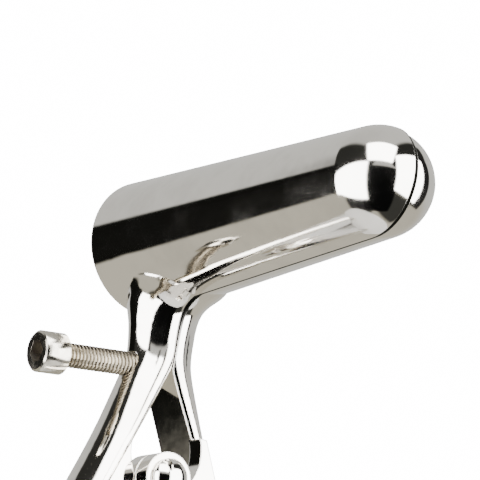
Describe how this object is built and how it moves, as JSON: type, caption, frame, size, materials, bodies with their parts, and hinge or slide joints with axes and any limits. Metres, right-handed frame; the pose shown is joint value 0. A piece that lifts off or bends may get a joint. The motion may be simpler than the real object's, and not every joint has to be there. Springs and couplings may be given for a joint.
{
  "type": "anal speculum",
  "caption": "Two-blade anal speculum: half-tube blades shut to a round-tipped cone, spread by squeezing the sprung handles and held open by a screw.",
  "frame": {"origin": "centre of the blades' base opening, on the blades' axis", "axes": "+X along the blades to the closed tip, -Y to the spreader screw's head, handles down -Z"},
  "size_m": [0.1035, 0.0756, 0.1563],
  "materials": {
    "polished_plate": "mirror-polished nickel or chrome plate on steel",
    "bright_screw": "bright plated steel, turned",
    "spring_steel": "plated spring steel, satin"
  },
  "bodies": {
    "left_side": {"left_lever": "polished_plate", "pivot_rivet": "polished_plate", "pivot_washer": "polished_plate", "left_leaf_spring": "spring_steel", "left_leaf_screw": "bright_screw"},
    "right_side": {"right_lever": "polished_plate", "right_leaf_spring": "spring_steel", "right_leaf_screw": "bright_screw"},
    "spreader": {"spreader_screw": "bright_screw"}
  },
  "joints": [
    {"name": "opening", "type": "hinge", "parent": "left_side", "child": "right_side", "pos_m": [0.0182, 0, -0.0608], "axis": [-1, 0, 0], "range_deg": [0, 30], "stiffness_Nm_per_rad": 1.5, "springref_deg": -11.46, "deforming": ["left_leaf_spring", "right_leaf_spring"]},
    {"name": "spreader_travel", "type": "slide", "parent": "left_side", "child": "spreader", "axis": [0, 0.9925, 0.1219], "range_m": [0, 0.0147]}
  ],
  "couplings": [
    {"joint": "spreader_travel", "follows": "opening", "m_per_rad": 0.028}
  ]
}
